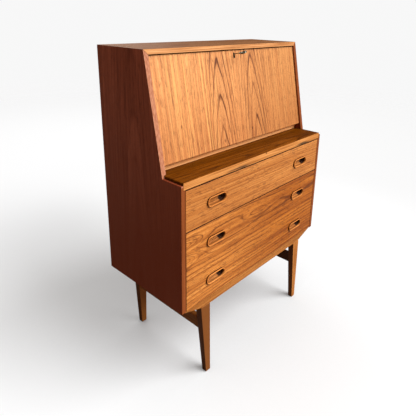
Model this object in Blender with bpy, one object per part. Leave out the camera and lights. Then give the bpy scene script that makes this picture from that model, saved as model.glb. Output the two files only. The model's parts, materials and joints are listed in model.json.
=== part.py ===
"""Drop-front secretary desk: a teak cabinet with a sloping fall flap, a pull-out slide and two drawers.

The lower drawer is a deep one whose single front carries two rows of pulls.

Metres, +Z up, +X to the right and -Y to the front. The origin is on the floor, at the middle of the outline.
Every sub-part is one named object. Each moving group hangs on an empty that sits on its joint.
"""
import math

import bmesh
import bpy
from mathutils import Vector

# Driving dimensions of the cabinet
WIDTH = 0.780
DEPTH = 0.3784
HEIGHT = 1.0878
CARCASS_BOTTOM = 0.2987
LOWER_TOP = 0.7245  # top edge of the sides in front of the slope
SLOPE_FOOT = 0.0804  # from the front plane to the foot of the sloping edge
SLOPE_HEAD = 0.1510  # from the front plane to its upper end
SIDE_T = 0.016
TOP_T = 0.015
BACK_T = 0.005
PULL_PROUD = 0.0055  # how far the drawer pulls stand out of the front plane
GAP = 0.0003  # between pieces that are joined
OVERCUT = 0.004  # how far a cutter runs past the surface that it opens

# Places that follow from them
HALF_WIDTH = WIDTH / 2
INNER_X = HALF_WIDTH - SIDE_T
BACK = (DEPTH + PULL_PROUD) / 2
FRONT = BACK - DEPTH
TOP_UNDERSIDE = HEIGHT - TOP_T
SLOPE = math.atan2(SLOPE_HEAD - SLOPE_FOOT, HEIGHT - LOWER_TOP)
REBATE = 0.008  # along the rear edges of the sides, for the back panel
REAR_WALL = BACK - REBATE
BOTTOM_SETBACK = 0.0005  # of the bottom panel behind the drawer front

# Pull-out slide and the fixed desk board above it
SLIDE_TOP = 0.7330
SLIDE_T = 0.0185
SLIDE_LIP_T = 0.024
SLIDE_LIP_DEPTH = 0.022
SLIDE_DEPTH = 0.350
SLIDE_CLEARANCE = 0.0005
GROOVE_DEPTH = SIDE_T / 2
GROOVE_END = 0.0025  # behind the closed slide
GROOVE_PLAY = 0.0004
BOARD_T = 0.020
BOARD_BOTTOM = SLIDE_TOP + SLIDE_CLEARANCE
BOARD_TOP = BOARD_BOTTOM + BOARD_T

# Flap, hinged on the front upper edge of the desk board
FLAP_T = BOARD_T
FLAP_RECESS = 0.006  # behind the sloping edges of the sides
FLAP_SIDE_CLEARANCE = 0.0008
FLAP_EDGE_CLEARANCE = 0.0004
FLAP_TOP_CLEARANCE = 0.0025
HINGE_Z = BOARD_TOP
FLAP_FACE_FOOT_Z = HINGE_Z + FLAP_T * math.sin(SLOPE)
HINGE_Y = (
    FRONT
    + SLOPE_FOOT
    + (FLAP_FACE_FOOT_Z - LOWER_TOP) * math.tan(SLOPE)
    + FLAP_RECESS / math.cos(SLOPE)
    + FLAP_T * math.cos(SLOPE)
)
SLOPE_PLANE = FLAP_T + FLAP_RECESS  # the sloping edges, measured out from the hinge line
FLAP_REACH = (TOP_UNDERSIDE - HINGE_Z - SLOPE_PLANE * math.sin(SLOPE)) / math.cos(SLOPE)
FLAP_LENGTH = FLAP_REACH - FLAP_TOP_CLEARANCE
FLAP_STOP_SIZE = (0.014, 0.012)  # depth and height of the strip that the closed flap rests on
FLAP_STOP_GAP = 0.001

# Lock at the middle of the flap's upper edge
LOCK_HALF_WIDTH = 0.025
LOCK_DEPTH = 0.012
LOCK_HEIGHT = 0.036
BOLT_HALF_WIDTH = 0.010
BOLT_HEIGHT = 0.022
BOLT_NEAR = -0.0035  # the bolt's two faces, measured out from the inner face of the flap
BOLT_FAR = -0.0075
BOLT_DROP = 0.0005  # the withdrawn bolt below the edge of the flap
BOLT_PLAY = 0.0004
BOLT_SLOT_SPARE = 0.002  # below the withdrawn bolt
BIT_ROOM_R = 0.0068

# Strike plate in the top panel, over the lock
STRIKE_T = 0.0012
STRIKE_HALF_LENGTH = 0.020
STRIKE_HALF_DEPTH = 0.0075
STRIKE_MOUTH_HALF = BOLT_HALF_WIDTH + 0.002
STRIKE_MOUTH = (-0.004, 0.005)  # front and rear edge of the mouth, from the middle of the plate
MORTISE_DEPTH = 0.009

# Key, lying along its turning axis
KEY_Z = FLAP_LENGTH - 0.0125
KEY_REST_TURN = math.radians(20.0)
KEY_SHAFT_R = 0.0018
KEY_REACH = 0.054  # from the face of the flap to the end of the bow
KEY_WAY_R = 0.0034
KEY_TIP_GAP = 0.0006  # between the end of the shaft and the bolt
BOW_R = 0.0115
BOW_WINDOW_R = 0.0070
BOW_HALF_T = 0.0013
BOW_OVERLAP = 0.0075  # how far the shaft runs in from the middle of the bow's ring
COLLAR_R = 0.0030
COLLAR_T = 0.003
COLLAR_GAP = 0.004
BIT_REACH = 0.0058
BIT_WIDTH = 0.003
BIT_HALF_T = 0.0009
BIT_SETBACK = 0.0002

# Keyhole escutcheon
ESCUTCHEON_WIDTH = 0.009
ESCUTCHEON_HEIGHT = 0.020
ESCUTCHEON_T = 0.002
ESCUTCHEON_Z = KEY_Z - 0.0045
EYE_R = 0.0027
WARD_HALF_WIDTH = 0.0013
WARD_LENGTH = 0.0105

# Butt hinges of the flap
HINGE_X = 0.255
HINGE_HALF_LENGTH = 0.030
HINGE_LEAF = 0.022
HINGE_LEAF_T = 0.002
HINGE_LEAF_START = 0.0012  # from the hinge line to the edge of a leaf
KNUCKLE_R = 0.0025
KNUCKLE_HALF = 0.0105  # half the length of the middle knuckle
KNUCKLE_ROOM = 0.0008  # around a knuckle, where the other leaf is cut back
KNUCKLE_RELIEF = 0.0007  # around a knuckle, in the wood
KNUCKLE_END_GAP = (0.0001, 0.0004)  # at the ends of the outer knuckles and of the middle one
PIN_R = 0.0010
PIN_BORE_R = 0.0014

# Drawers: name, upper and lower line of the front, and the height of each row of pulls
DRAWERS = (
    ("upper_drawer", 0.7075, 0.5725, {"pull": 0.6400}),
    ("lower_drawer", 0.5725, 0.2985, {"upper_pull": 0.5040, "lower_pull": 0.3650}),
)
ROW_GAP = 0.003
FRONT_T = 0.020
FRONT_SIDE_CLEARANCE = 0.0018
BOX_HALF_WIDTH = INNER_X - 0.003
BOX_DEPTH = 0.330
BOX_SIDE_T = 0.013
BOX_FLOOR_LIFT = 0.0185  # lower edge of the box above the lower line of its row
BOX_TOP_DROP = 0.012
BASE_T = 0.005
BASE_LIFT = 0.006
BASE_GROOVE = 0.0045
BACK_DROP = 0.004  # the box's back below its sides
RUNNER_T = 0.0094
RUNNER_HEIGHT = 0.016
RUNNER_START = 0.024
RUNNER_PLAY = (0.001, 0.0005)  # at the face and at the edges of a runner

# Drawer pulls: a raised oval rim around a blind finger pocket
PULL_X = HALF_WIDTH - 0.149
PULL_LENGTH = 0.087
PULL_HEIGHT = 0.033
PULL_INSET = 0.016  # how deep the pull is let into the drawer front
PULL_RIM = 0.007
PULL_ROUNDING = 0.0030  # depth of the rounded part of the rim
RIM_STEPS = 6
POCKET_FLOOR = 0.0125
POCKET_TAPER = 0.0005
OVAL_STEPS = 8  # facets on each half-round end

# Base
LEG_TOP = CARCASS_BOTTOM - GAP
LEG_OUTER = (0.1060, 0.0880)  # outer face at the floor and at the top, in from the cabinet's side
LEG_INNER = (0.1270, 0.1330)
FRONT_LEG_FACES = ((-0.0050, 0.0070), (0.0140, 0.0340))  # from the front plane, each at floor and top
REAR_LEG_FACES = ((0.3490, 0.3430), (0.3690, 0.3710))
APRON_HEIGHT = 0.034
APRON_TIP = 0.002  # height of the apron's tapered ends
APRON_TAPER = 0.098
APRON_T = 0.020
APRON_SETBACK = 0.006  # from the front plane to the face of the front apron
REAR_APRON_SETBACK = 0.0064
APRON_END = 0.001  # in from the cabinet's side
LEG_NOTCH_REACH = 0.05  # how far the notch's cutter runs past the apron
STRETCHER_LOW = 0.165
STRETCHER_HIGH = 0.203
STRETCHER_T = 0.020
STRETCHER_X = HALF_WIDTH - 0.114

# Writing compartment
SHELF_Z = 0.842
SHELF_T = 0.012
SHELF_SETBACK = 0.195
DIVIDER_X = 0.125
DIVIDER_T = 0.012
DIVIDER_SETBACK = 0.200
TRAY_WALL = 0.007
TRAY_FLOOR = 0.005
TRAY_END = 0.162  # from the face of the small drawer to the back of its tray
TRAY_INSET = 0.003
TRAY_DROP = 0.014
SMALL_FRONT_T = 0.010
SMALL_GAP = 0.001
SMALL_LIFT = 0.0008
FINGER_NOTCH_R = 0.011


def clear_scene():
    for obj in list(bpy.data.objects):
        bpy.data.objects.remove(obj, do_unlink=True)


def make_material(name, color, roughness, metallic=0.0):
    material = bpy.data.materials.new(name)
    material.use_nodes = True
    shader = material.node_tree.nodes["Principled BSDF"]
    shader.inputs["Base Color"].default_value = (*color, 1.0)
    shader.inputs["Roughness"].default_value = roughness
    shader.inputs["Metallic"].default_value = metallic
    return material


def make_empty(name, location, parent=None, tilt=0.0):
    empty = bpy.data.objects.new(name, None)
    empty.location = location
    empty.rotation_euler = (tilt, 0.0, 0.0)
    empty.empty_display_size = 0.03
    empty.parent = parent
    bpy.context.scene.collection.objects.link(empty)
    return empty


def finish_mesh(name, bm, material, parent):
    """Turn a bmesh into an object whose origin is the middle of its own box."""
    bmesh.ops.recalc_face_normals(bm, faces=bm.faces)
    corners = [vert.co.copy() for vert in bm.verts]
    low = Vector([min(corner[i] for corner in corners) for i in range(3)])
    high = Vector([max(corner[i] for corner in corners) for i in range(3)])
    centre = (low + high) / 2
    bmesh.ops.translate(bm, verts=bm.verts, vec=-centre)
    mesh = bpy.data.meshes.new(name)
    bm.to_mesh(mesh)
    bm.free()
    obj = bpy.data.objects.new(name, mesh)
    obj.location = centre
    obj.parent = parent
    bpy.context.scene.collection.objects.link(obj)
    if material:
        mesh.materials.append(material)
    return obj


def loft(name, loops, material=None, parent=None):
    """Skin closed loops that have the same number of points, and close both ends."""
    bm = bmesh.new()
    rings = [[bm.verts.new(point) for point in loop] for loop in loops]
    for near, far in zip(rings, rings[1:]):
        for i in range(len(near)):
            j = (i + 1) % len(near)
            bm.faces.new((near[i], near[j], far[j], far[i]))
    bm.faces.new(rings[0])
    bm.faces.new(rings[-1])
    return finish_mesh(name, bm, material, parent)


def place(axis, along, point):
    """A point of a flat outline, put at a height along the named axis."""
    first, second = point
    if axis == "X":
        return (along, first, second)
    if axis == "Y":
        return (first, along, second)
    return (first, second, along)


def prism(name, outline, axis, low, high, material=None, parent=None):
    loops = [[place(axis, along, point) for point in outline] for along in (low, high)]
    return loft(name, loops, material, parent)


def box(name, x, y, z, material=None, parent=None):
    outline = [(x[0], y[0]), (x[1], y[0]), (x[1], y[1]), (x[0], y[1])]
    return prism(name, outline, "Z", z[0], z[1], material, parent)


def circle(radius, centre=(0.0, 0.0), steps=24):
    angles = [2 * math.pi * i / steps for i in range(steps)]
    return [(centre[0] + radius * math.cos(a), centre[1] + radius * math.sin(a)) for a in angles]


def oval(length, height, centre=(0.0, 0.0), steps=OVAL_STEPS):
    """A long outline with half-round ends; it stands upright where height is the larger size."""
    radius = min(length, height) / 2
    straight = Vector((length / 2 - radius, height / 2 - radius))
    start = -math.pi / 2 if length >= height else 0.0
    points = []
    for end in (1, -1):
        middle = Vector(centre) + straight * end
        for i in range(steps + 1):
            angle = start + math.pi * i / steps + (0.0 if end == 1 else math.pi)
            points.append((middle.x + radius * math.cos(angle), middle.y + radius * math.sin(angle)))
    return points


def cut(target, cutter):
    combine(target, cutter, "DIFFERENCE")


def join(target, part):
    combine(target, part, "UNION")


def combine(target, tool, operation):
    tool.name = target.name + "_" + operation.lower()
    tool.hide_render = True
    tool.display_type = "WIRE"
    modifier = target.modifiers.new(operation.title(), "BOOLEAN")
    modifier.operation = operation
    modifier.solver = "EXACT"
    modifier.object = tool


def mirrored(side, near, far):
    """An X range given from the middle outwards, on the left (-1) or the right (+1)."""
    return tuple(sorted((side * near, side * far)))


def side_name(side):
    return "left" if side < 0 else "right"


def slope_y(z):
    """Y of the sloping front edges at a height."""
    return FRONT + SLOPE_FOOT + (z - LOWER_TOP) * math.tan(SLOPE)


# Carcass


def build_side(side, materials):
    outline = [
        (FRONT, CARCASS_BOTTOM),
        (BACK, CARCASS_BOTTOM),
        (BACK, HEIGHT),
        (slope_y(HEIGHT), HEIGHT),
        (slope_y(LOWER_TOP), LOWER_TOP),
        (FRONT, LOWER_TOP),
    ]
    low, high = mirrored(side, INNER_X, HALF_WIDTH)
    panel = prism(side_name(side) + "_side", outline, "X", low, high, materials["teak_side"])
    # mitre under the top panel
    reach = OVERCUT / SIDE_T
    mitre = [
        (side * (HALF_WIDTH + OVERCUT), HEIGHT + TOP_T * reach - GAP),
        (side * (INNER_X - OVERCUT), TOP_UNDERSIDE - TOP_T * reach - GAP),
        (side * (INNER_X - OVERCUT), HEIGHT + TOP_T),
        (side * (HALF_WIDTH + OVERCUT), HEIGHT + TOP_T),
    ]
    cut(panel, prism("mitre", mitre, "Y", FRONT, BACK + OVERCUT))
    # groove that the slide runs in, open at the front
    groove_x = mirrored(side, INNER_X - OVERCUT, INNER_X + GROOVE_DEPTH)
    groove_y = (FRONT - OVERCUT, FRONT + SLIDE_DEPTH + GROOVE_END)
    groove_z = (SLIDE_TOP - SLIDE_LIP_T - GROOVE_PLAY, SLIDE_TOP + GROOVE_PLAY)
    cut(panel, box("groove", groove_x, groove_y, groove_z))
    # rebate for the back panel
    rebate_x = mirrored(side, INNER_X - OVERCUT, HALF_WIDTH - SIDE_T / 2)
    rebate_z = (CARCASS_BOTTOM - OVERCUT, TOP_UNDERSIDE)
    cut(panel, box("rebate", rebate_x, (REAR_WALL, BACK + OVERCUT), rebate_z))


def build_top(materials):
    outline = [
        (-HALF_WIDTH, HEIGHT),
        (HALF_WIDTH, HEIGHT),
        (INNER_X, TOP_UNDERSIDE),
        (-INNER_X, TOP_UNDERSIDE),
    ]
    top = prism("top_panel", outline, "Y", FRONT + SLOPE_FOOT, BACK, materials["teak_top"])
    # front edge planed to the slope of the sides
    high_z = HEIGHT + OVERCUT
    low_z = TOP_UNDERSIDE - OVERCUT
    slope = [(slope_y(low_z), low_z), (slope_y(high_z), high_z), (FRONT, high_z), (FRONT, low_z)]
    cut(top, prism("slope", slope, "X", -HALF_WIDTH - OVERCUT, HALF_WIDTH + OVERCUT))
    # mortise for the strike plate and the thrown bolt
    plate_y, mouth_y = strike_places()
    plate_z = (TOP_UNDERSIDE - OVERCUT, TOP_UNDERSIDE + STRIKE_T + GAP)
    plate_x = (-STRIKE_HALF_LENGTH - GAP, STRIKE_HALF_LENGTH + GAP)
    cut(top, box("strike_seat", plate_x, (plate_y[0] - GAP, plate_y[1] + GAP), plate_z))
    mortise_z = (TOP_UNDERSIDE - OVERCUT, TOP_UNDERSIDE + MORTISE_DEPTH)
    mortise_x = (-STRIKE_MOUTH_HALF, STRIKE_MOUTH_HALF)
    cut(top, box("strike_mortise", mortise_x, mouth_y, mortise_z))


def strike_places():
    """Y range of the strike plate, and Y range of its mouth."""
    middle = (BOLT_NEAR + BOLT_FAR) / 2
    centre = HINGE_Y + (TOP_UNDERSIDE - HINGE_Z) * math.tan(SLOPE) + middle / math.cos(SLOPE)
    plate = (centre - STRIKE_HALF_DEPTH, centre + STRIKE_HALF_DEPTH)
    return plate, tuple(centre + edge for edge in STRIKE_MOUTH)


def build_strike(materials):
    plate_y, mouth_y = strike_places()
    plate_x = (-STRIKE_HALF_LENGTH, STRIKE_HALF_LENGTH)
    plate_z = (TOP_UNDERSIDE, TOP_UNDERSIDE + STRIKE_T)
    plate = box("strike_plate", plate_x, plate_y, plate_z, materials["brass"])
    mouth_z = (TOP_UNDERSIDE - OVERCUT, TOP_UNDERSIDE + STRIKE_T + OVERCUT)
    cut(plate, box("mouth", (-STRIKE_MOUTH_HALF, STRIKE_MOUTH_HALF), mouth_y, mouth_z))


def build_back(materials):
    half = HALF_WIDTH - SIDE_T / 2 - GAP
    middle = BACK - REBATE / 2
    back_y = (middle - BACK_T / 2, middle + BACK_T / 2)
    back_z = (CARCASS_BOTTOM + GAP, TOP_UNDERSIDE - GAP)
    box("back_panel", (-half, half), back_y, back_z, materials["plywood"])


def build_bottom(materials):
    half = INNER_X - GAP
    bottom_y = (FRONT + FRONT_T + BOTTOM_SETBACK, REAR_WALL)
    bottom_z = (CARCASS_BOTTOM, CARCASS_BOTTOM + SIDE_T)
    box("bottom_panel", (-half, half), bottom_y, bottom_z, materials["teak_side"])


def build_desk_board(materials):
    half = INNER_X - GAP
    board_y = (HINGE_Y + FLAP_EDGE_CLEARANCE, REAR_WALL)
    board = box("desk_board", (-half, half), board_y, (BOARD_BOTTOM, BOARD_TOP), materials["teak_top"])
    for side in (-1, 1):
        middle = side * HINGE_X
        seat_half = HINGE_HALF_LENGTH + GAP
        seat_x = (middle - seat_half, middle + seat_half)
        seat_y = (HINGE_Y - OVERCUT, HINGE_Y + HINGE_LEAF + GAP)
        seat_z = (BOARD_TOP - HINGE_LEAF_T - GAP, BOARD_TOP + OVERCUT)
        cut(board, box("hinge_seat", seat_x, seat_y, seat_z))
        relief = circle(KNUCKLE_R + KNUCKLE_RELIEF, (HINGE_Y, HINGE_Z), 16)
        cut(board, prism("knuckle_relief", relief, "X", seat_x[0], seat_x[1]))


def build_flap_stop(materials):
    depth, height = FLAP_STOP_SIZE
    rest_y = HINGE_Y + (TOP_UNDERSIDE - HINGE_Z) * math.tan(SLOPE) + FLAP_STOP_GAP
    stop_z = (TOP_UNDERSIDE - height, TOP_UNDERSIDE - GAP)
    half = INNER_X - 2 * FLAP_STOP_GAP
    stop = box("flap_stop", (-half, half), (rest_y, rest_y + depth), stop_z, materials["teak_solid"])
    # room for the back of the lock's strike plate
    plate_y, _ = strike_places()
    notch_half = STRIKE_HALF_LENGTH + FLAP_STOP_GAP
    notch_y = (rest_y - OVERCUT, plate_y[1] + 2 * GAP)
    notch_z = (stop_z[0] - OVERCUT, stop_z[1] + OVERCUT)
    cut(stop, box("notch", (-notch_half, notch_half), notch_y, notch_z))


def build_runners(materials):
    for drawer_name, top, bottom, _ in DRAWERS:
        middle = (top + bottom) / 2
        for side in (-1, 1):
            runner_x = mirrored(side, INNER_X - GAP - RUNNER_T, INNER_X - GAP)
            runner_y = (FRONT + RUNNER_START, FRONT + BOX_DEPTH)
            runner_z = (middle - RUNNER_HEIGHT / 2, middle + RUNNER_HEIGHT / 2)
            name = f"{drawer_name}_runner_{side_name(side)}"
            box(name, runner_x, runner_y, runner_z, materials["beech"])


# Base


def leg_outline(rear, height):
    """Outer, inner, front and rear face of a leg at a height, in from the cabinet's side and front."""
    share = height / LEG_TOP
    faces = (LEG_OUTER, LEG_INNER) + (REAR_LEG_FACES if rear else FRONT_LEG_FACES)
    return [floor + (top - floor) * share for floor, top in faces]


def build_leg(side, rear, materials):
    loops = []
    for height in (0.0, LEG_TOP):
        outer, inner, near, far = leg_outline(rear, height)
        x = mirrored(side, HALF_WIDTH - inner, HALF_WIDTH - outer)
        y = (FRONT + near, FRONT + far)
        corners = [(x[0], y[0]), (x[1], y[0]), (x[1], y[1]), (x[0], y[1])]
        loops.append([place("Z", height, corner) for corner in corners])
    name = ("rear" if rear else "front") + "_leg_" + side_name(side)
    leg = loft(name, loops, materials["teak_solid"])
    # the apron rail is let into the leg's outer face; a tongue of the leg runs up inside it
    apron_y = apron_places(rear)
    if rear:
        notch_y = (apron_y[0] - GAP, apron_y[1] + LEG_NOTCH_REACH)
    else:
        notch_y = (apron_y[0] - LEG_NOTCH_REACH, apron_y[1] + GAP)
    notch_x = mirrored(side, INNER_X / 2, HALF_WIDTH)
    notch_z = (CARCASS_BOTTOM - APRON_HEIGHT - 2 * GAP, CARCASS_BOTTOM + OVERCUT)
    cut(leg, box("apron_notch", notch_x, notch_y, notch_z))


def apron_places(rear):
    if rear:
        return BACK - REAR_APRON_SETBACK - APRON_T, BACK - REAR_APRON_SETBACK
    return FRONT + APRON_SETBACK, FRONT + APRON_SETBACK + APRON_T


def build_apron(rear, materials):
    top = CARCASS_BOTTOM - GAP
    low = CARCASS_BOTTOM - APRON_HEIGHT
    tip = CARCASS_BOTTOM - APRON_TIP
    end = HALF_WIDTH - APRON_END
    bend = HALF_WIDTH - APRON_TAPER
    outline = [(-end, top), (-end, tip), (-bend, low), (bend, low), (end, tip), (end, top)]
    near, far = apron_places(rear)
    name = "rear_apron" if rear else "front_apron"
    prism(name, outline, "Y", near, far, materials["teak_solid"])


def build_stretcher(side, materials):
    corners = ((False, STRETCHER_LOW), (True, STRETCHER_LOW), (True, STRETCHER_HIGH), (False, STRETCHER_HIGH))
    outline = []
    for rear, height in corners:
        _, _, near, far = leg_outline(rear, height)
        meeting = near - GAP if rear else far + GAP
        outline.append((FRONT + meeting, height))
    low, high = mirrored(side, STRETCHER_X - STRETCHER_T / 2, STRETCHER_X + STRETCHER_T / 2)
    prism("side_stretcher_" + side_name(side), outline, "X", low, high, materials["teak_solid"])


# Pull-out slide


def build_slide(materials):
    slide = make_empty("slide_pull", (0.0, FRONT, SLIDE_TOP))
    outline = [
        (0.0, 0.0),
        (0.0, -SLIDE_LIP_T),
        (SLIDE_LIP_DEPTH, -SLIDE_LIP_T),
        (SLIDE_LIP_DEPTH, -SLIDE_T),
        (SLIDE_DEPTH, -SLIDE_T),
        (SLIDE_DEPTH, 0.0),
    ]
    half = INNER_X + GROOVE_DEPTH - GAP
    prism("slide_board", outline, "X", -half, half, materials["teak_top"], slide)


# Flap: the frame's Z runs up the slope from the hinge line, and -Y points out of the face


def build_flap(materials):
    flap = make_empty("flap_hinge", (0.0, HINGE_Y, HINGE_Z), tilt=-SLOPE)
    half = INNER_X - FLAP_SIDE_CLEARANCE
    panel_z = (FLAP_EDGE_CLEARANCE, FLAP_LENGTH)
    panel = box("flap_panel", (-half, half), (-FLAP_T, 0.0), panel_z, materials["teak_flap"], flap)
    for side in (-1, 1):
        seat_half = HINGE_HALF_LENGTH + GAP
        seat_x = (side * HINGE_X - seat_half, side * HINGE_X + seat_half)
        seat_z = (-OVERCUT, HINGE_LEAF + GAP)
        cut(panel, box("hinge_seat", seat_x, (-HINGE_LEAF_T - GAP, OVERCUT), seat_z, parent=flap))
        relief = circle(KNUCKLE_R + KNUCKLE_RELIEF, steps=16)
        cut(panel, prism("knuckle_relief", relief, "X", seat_x[0], seat_x[1], parent=flap))
    lock_x = (-LOCK_HALF_WIDTH - GAP, LOCK_HALF_WIDTH + GAP)
    lock_z = (FLAP_LENGTH - LOCK_HEIGHT - GAP, FLAP_LENGTH + OVERCUT)
    cut(panel, box("lock_seat", lock_x, (-LOCK_DEPTH - GAP, OVERCUT), lock_z, parent=flap))
    key_way = circle(KEY_WAY_R, (0.0, KEY_Z), 16)
    cut(panel, prism("key_way", key_way, "Y", -FLAP_T - OVERCUT, -LOCK_DEPTH + OVERCUT, parent=flap))
    grow = 2 * GAP
    plate_seat = oval(ESCUTCHEON_WIDTH + grow, ESCUTCHEON_HEIGHT + grow, (0.0, ESCUTCHEON_Z))
    plate_depth = -FLAP_T + ESCUTCHEON_T + GAP
    cut(panel, prism("escutcheon_seat", plate_seat, "Y", -FLAP_T - OVERCUT, plate_depth, parent=flap))
    build_escutcheon(flap, materials)
    build_lock(flap, materials)
    build_key(flap, materials)
    return flap


def build_escutcheon(flap, materials):
    outline = oval(ESCUTCHEON_WIDTH, ESCUTCHEON_HEIGHT, (0.0, ESCUTCHEON_Z))
    inner = -FLAP_T + ESCUTCHEON_T
    plate = prism("keyhole_escutcheon", outline, "Y", -FLAP_T, inner, materials["brass"], flap)
    through = (-FLAP_T - OVERCUT, inner + OVERCUT)
    eye = circle(EYE_R, (0.0, KEY_Z), 16)
    cut(plate, prism("eye", eye, "Y", through[0], through[1], parent=flap))
    slot_x = (-WARD_HALF_WIDTH, WARD_HALF_WIDTH)
    cut(plate, box("ward_slot", slot_x, through, (KEY_Z - WARD_LENGTH, KEY_Z), parent=flap))


def build_lock(flap, materials):
    case_x = (-LOCK_HALF_WIDTH, LOCK_HALF_WIDTH)
    case_z = (FLAP_LENGTH - LOCK_HEIGHT, FLAP_LENGTH)
    case = box("lock_case", case_x, (-LOCK_DEPTH, 0.0), case_z, materials["brass"], flap)
    slot_x = (-BOLT_HALF_WIDTH - BOLT_PLAY, BOLT_HALF_WIDTH + BOLT_PLAY)
    slot_y = (BOLT_FAR - BOLT_PLAY, BOLT_NEAR + BOLT_PLAY)
    slot_z = (FLAP_LENGTH - BOLT_HEIGHT - BOLT_SLOT_SPARE, FLAP_LENGTH + OVERCUT)
    cut(case, box("bolt_slot", slot_x, slot_y, slot_z, parent=flap))
    bit_room = circle(BIT_ROOM_R, (0.0, KEY_Z), 24)
    cut(case, prism("bit_room", bit_room, "Y", -LOCK_DEPTH - OVERCUT, BOLT_FAR, parent=flap))
    bolt = make_empty("bolt_throw", (0.0, (BOLT_NEAR + BOLT_FAR) / 2, FLAP_LENGTH), flap)
    half_t = (BOLT_NEAR - BOLT_FAR) / 2
    bolt_x = (-BOLT_HALF_WIDTH, BOLT_HALF_WIDTH)
    box("lock_bolt", bolt_x, (-half_t, half_t), (-BOLT_HEIGHT, -BOLT_DROP), materials["steel"], bolt)


def build_key(flap, materials):
    """The key lies along its turning axis; its bow and its bit share one plane through that axis."""
    turn = make_empty("key_turn", (0.0, -FLAP_T, KEY_Z), flap)
    turn.rotation_euler = (0.0, -KEY_REST_TURN, 0.0)
    tip = FLAP_T + BOLT_FAR - KEY_TIP_GAP
    bow_y = -KEY_REACH + BOW_R
    shaft_outline = circle(KEY_SHAFT_R, steps=16)
    key = prism("key", shaft_outline, "Y", bow_y + BOW_OVERLAP, tip, materials["steel"], turn)
    collar_y = bow_y + BOW_R + COLLAR_GAP
    collar = circle(COLLAR_R, steps=16)
    join(key, prism("collar", collar, "Y", collar_y, collar_y + COLLAR_T, parent=turn))
    # ring of the bow
    bow = circle(BOW_R, (0.0, bow_y), 24)
    join(key, prism("bow", bow, "Z", -BOW_HALF_T, BOW_HALF_T, parent=turn))
    window = circle(BOW_WINDOW_R, (0.0, bow_y), 20)
    cut(key, prism("window", window, "Z", -OVERCUT, OVERCUT, parent=turn))
    bit_y = (tip - BIT_SETBACK - BIT_WIDTH, tip - BIT_SETBACK)
    join(key, box("bit", (0.0, BIT_REACH), bit_y, (-BIT_HALF_T, BIT_HALF_T), parent=turn))


def leaf_outline(middle, near, knuckle_near, knuckle_half, far):
    """A hinge leaf from above: its long edge is near, but knuckle_near along the middle knuckle."""
    half = HINGE_HALF_LENGTH
    return [
        (middle - half, near),
        (middle - knuckle_half, near),
        (middle - knuckle_half, knuckle_near),
        (middle + knuckle_half, knuckle_near),
        (middle + knuckle_half, near),
        (middle + half, near),
        (middle + half, far),
        (middle - half, far),
    ]


def build_hinge(side, flap, materials):
    middle = side * HINGE_X
    half = HINGE_HALF_LENGTH
    ends = (middle - half - OVERCUT, middle + half + OVERCUT)
    room = KNUCKLE_R + KNUCKLE_ROOM
    outer_gap, middle_gap = KNUCKLE_END_GAP
    name = side_name(side) + "_hinge"
    # flap leaf with the two outer knuckles
    leaf = leaf_outline(middle, HINGE_LEAF_START, room, KNUCKLE_HALF, HINGE_LEAF)
    flap_leaf = prism(name + "_flap_leaf", leaf, "Y", -HINGE_LEAF_T, 0.0, materials["brass"], flap)
    knuckle = circle(KNUCKLE_R, steps=16)
    for end in (-1, 1):
        low, high = sorted((middle + end * (KNUCKLE_HALF + outer_gap), middle + end * half))
        join(flap_leaf, prism("knuckle", knuckle, "X", low, high, parent=flap))
    bore = circle(PIN_BORE_R, steps=16)
    cut(flap_leaf, prism("pin_bore", bore, "X", ends[0], ends[1], parent=flap))
    # desk leaf with the middle knuckle
    inner = KNUCKLE_HALF - middle_gap
    near = HINGE_Y + room
    leaf = leaf_outline(middle, near, HINGE_Y + HINGE_LEAF_START, inner, HINGE_Y + HINGE_LEAF)
    desk_leaf = prism(name + "_desk_leaf", leaf, "Z", HINGE_Z - HINGE_LEAF_T, HINGE_Z, materials["brass"])
    axis = (HINGE_Y, HINGE_Z)
    join(desk_leaf, prism("knuckle", circle(KNUCKLE_R, axis, 16), "X", middle - inner, middle + inner))
    cut(desk_leaf, prism("pin_bore", circle(PIN_BORE_R, axis, 16), "X", ends[0], ends[1]))
    prism(name + "_pin", circle(PIN_R, axis, 16), "X", middle - half, middle + half, materials["brass"])


# Drawers: each frame's origin is the middle of the drawer's face


def pull_loops(middle_x, middle_z):
    """Loops from the back of a pull, up its outer wall, over the rounded rim and down into the pocket."""
    foot = -PULL_PROUD + PULL_ROUNDING
    profile = [(0.0, PULL_INSET), (0.0, foot)]
    for i in range(1, RIM_STEPS):
        angle = math.pi * i / RIM_STEPS
        across = PULL_RIM * (1 - math.cos(angle)) / 2
        profile.append((across, foot - PULL_ROUNDING * math.sin(angle)))
    profile.append((PULL_RIM, foot))
    profile.append((PULL_RIM + POCKET_TAPER, POCKET_FLOOR))
    loops = []
    for inset, depth in profile:
        outline = oval(PULL_LENGTH - 2 * inset, PULL_HEIGHT - 2 * inset, (middle_x, middle_z))
        loops.append([place("Y", depth, point) for point in outline])
    return loops


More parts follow.
